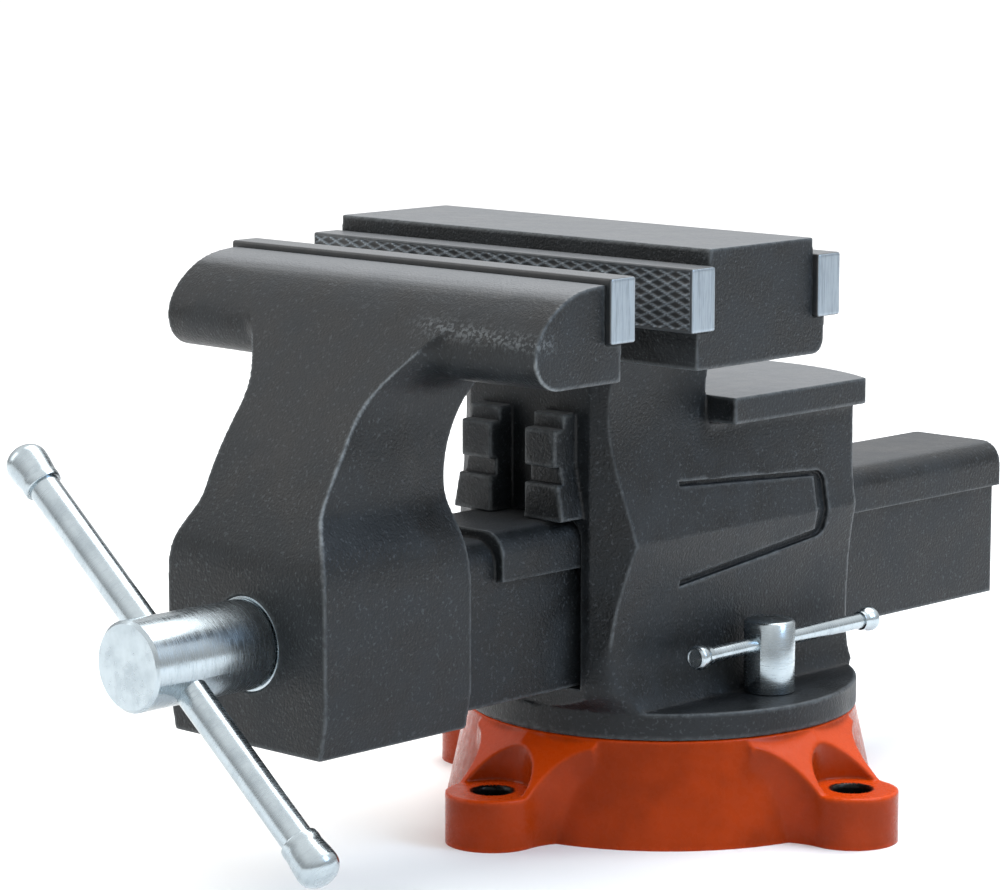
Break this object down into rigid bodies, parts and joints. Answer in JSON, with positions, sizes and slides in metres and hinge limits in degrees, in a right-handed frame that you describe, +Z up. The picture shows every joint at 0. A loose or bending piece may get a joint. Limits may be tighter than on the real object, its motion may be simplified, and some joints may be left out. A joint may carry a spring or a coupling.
{
  "type": "bench vise",
  "caption": "Reversible combination bench vise with cross-hatched jaw plates, pipe-jaw ribs, a flat anvil, a sliding jaw on a screw spindle and a swivel base with side locks.",
  "frame": {"origin": "swivel centre on the bench plane, the centre of the base's bolt circle", "axes": "+X across the jaws to the right as seen from the spindle handle, +Y from the spindle end towards the rear, +Z up from the bench"},
  "size_m": [0.1942, 0.394, 0.1965],
  "materials": {
    "cast_black": "sand-cast iron, charcoal hammer-grained powder coat, satin",
    "base_enamel": "sand-cast iron, orange gloss enamel",
    "jaw_steel": "hardened steel, ground ends, blackened cross-hatched face",
    "zinc_steel": "turned steel, bright zinc plate with a blue tint",
    "plain_iron": "machined grey iron",
    "plain_steel": "turned steel, oiled",
    "dark_screw": "black oxide steel"
  },
  "bodies": {
    "base": {"swivel_base": "base_enamel"},
    "body": {"vise_body": "cast_black", "clamp_plate": "plain_iron", "front_jaw_plate": "jaw_steel", "rear_jaw_plate": "jaw_steel", "front_plate_screws": "dark_screw", "rear_plate_screws": "dark_screw", "spindle_nut": "plain_iron", "nut_screws": "dark_screw", "nut_washers": "zinc_steel"},
    "jaw": {"moving_jaw": "cast_black", "moving_jaw_plate": "jaw_steel", "moving_plate_screws": "dark_screw", "thrust_washer": "zinc_steel"},
    "spindle": {"spindle_screw": "zinc_steel", "spindle_collar": "plain_steel", "collar_pin": "dark_screw"},
    "handle": {"handle_rod": "zinc_steel", "handle_knob_upper": "zinc_steel", "handle_knob_lower": "zinc_steel"},
    "right_lock": {"lock_bolt_right": "zinc_steel"},
    "right_lock_handle": {"lock_bar_right": "zinc_steel", "lock_knobs_right": "zinc_steel"},
    "left_lock": {"lock_bolt_left": "zinc_steel"},
    "left_lock_handle": {"lock_bar_left": "zinc_steel", "lock_knobs_left": "zinc_steel"}
  },
  "joints": [
    {"name": "base_swivel", "type": "hinge", "parent": "base", "child": "body", "pos_m": [0, 0, 0], "axis": [0, 0, 1], "continuous": true},
    {"name": "jaw_slide", "type": "slide", "parent": "body", "child": "jaw", "axis": [0, -1, 0], "range_m": [-0.025, 0.125]},
    {"name": "spindle_turn", "type": "hinge", "parent": "jaw", "child": "spindle", "pos_m": [0, -0.2195, 0.081], "axis": [0, -1, 0], "range_deg": [-2250.5, 11250.5]},
    {"name": "handle_slide", "type": "slide", "parent": "spindle", "child": "handle", "axis": [0.776, 0, -0.6307], "range_m": [-0.0568, 0.0568]},
    {"name": "right_lock_turn", "type": "hinge", "parent": "body", "child": "right_lock", "pos_m": [0.0458, 0.0015, 0.05], "axis": [0, 0, 1], "range_deg": [-5, 5]},
    {"name": "right_lock_handle_slide", "type": "slide", "parent": "right_lock", "child": "right_lock_handle", "axis": [0, 1, 0], "range_m": [-0.038, 0.0215]},
    {"name": "left_lock_turn", "type": "hinge", "parent": "body", "child": "left_lock", "pos_m": [-0.0458, 0.0015, 0.05], "axis": [0, 0, 1], "range_deg": [-5, 5]},
    {"name": "left_lock_handle_slide", "type": "slide", "parent": "left_lock", "child": "left_lock_handle", "axis": [0, 1, 0], "range_m": [-0.038, 0.0215]}
  ],
  "couplings": [
    {"joint": "spindle_turn", "follows": "jaw_slide", "rad_per_m": 1570.8}
  ]
}
